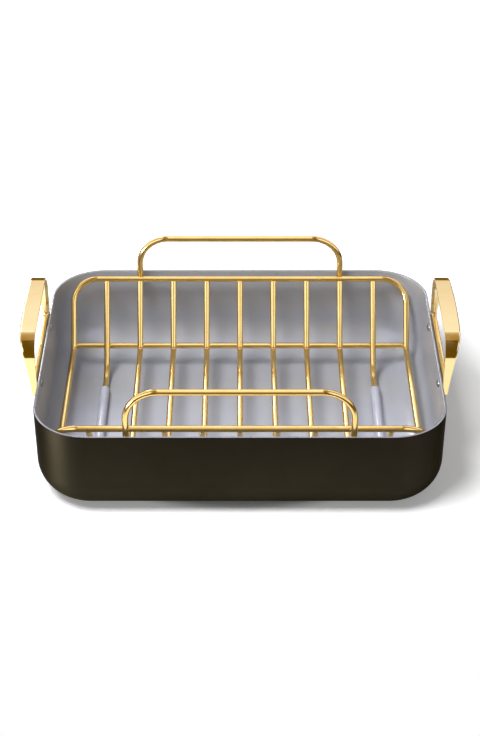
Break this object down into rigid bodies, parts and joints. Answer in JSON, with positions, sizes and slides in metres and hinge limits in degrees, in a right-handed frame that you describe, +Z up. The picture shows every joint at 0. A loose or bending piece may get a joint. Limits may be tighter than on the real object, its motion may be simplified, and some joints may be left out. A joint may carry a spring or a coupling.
{
  "type": "roasting pan with rack",
  "caption": "Rounded rectangular roasting pan with an upright loop handle at each end and a lift-out bent wire rack that stands on sleeved legs.",
  "frame": {"origin": "middle of the pan's flat base, which is the middle of the whole row in plan", "axes": "+X runs along the pan towards the right handle, +Y towards the rear, +Z up"},
  "size_m": [0.4624, 0.331, 0.155],
  "materials": {
    "pan_coating": "hard-anodised outside, grey non-stick coat inside, both satin",
    "handle_gold": "polished gold-coloured plating",
    "rivet_steel": "brushed, domed heads",
    "rack_gold": "polished gold-coloured plating",
    "leg_silicone": "smooth moulded silicone, pale grey"
  },
  "bodies": {
    "pan": {"pan_body": "pan_coating", "pan_handle_left": "handle_gold", "pan_handle_right": "handle_gold", "rivet_left_front": "rivet_steel", "rivet_left_rear": "rivet_steel", "rivet_right_front": "rivet_steel", "rivet_right_rear": "rivet_steel"},
    "rack": {"rack_frame": "rack_gold", "cross_wire_1": "rack_gold", "cross_wire_2": "rack_gold", "cross_wire_3": "rack_gold", "cross_wire_4": "rack_gold", "cross_wire_5": "rack_gold", "cross_wire_6": "rack_gold", "cross_wire_7": "rack_gold", "leg_wire_left": "rack_gold", "leg_wire_right": "rack_gold", "leg_sleeve_left": "leg_silicone", "leg_sleeve_right": "leg_silicone", "long_wire_front": "rack_gold", "long_wire_rear": "rack_gold", "rack_handle_front": "rack_gold", "rack_handle_rear": "rack_gold"}
  },
  "joints": [
    {"name": "rack_lift", "type": "slide", "parent": "pan", "child": "rack", "axis": [0, 0, 1], "range_m": [0, 0.16]}
  ]
}
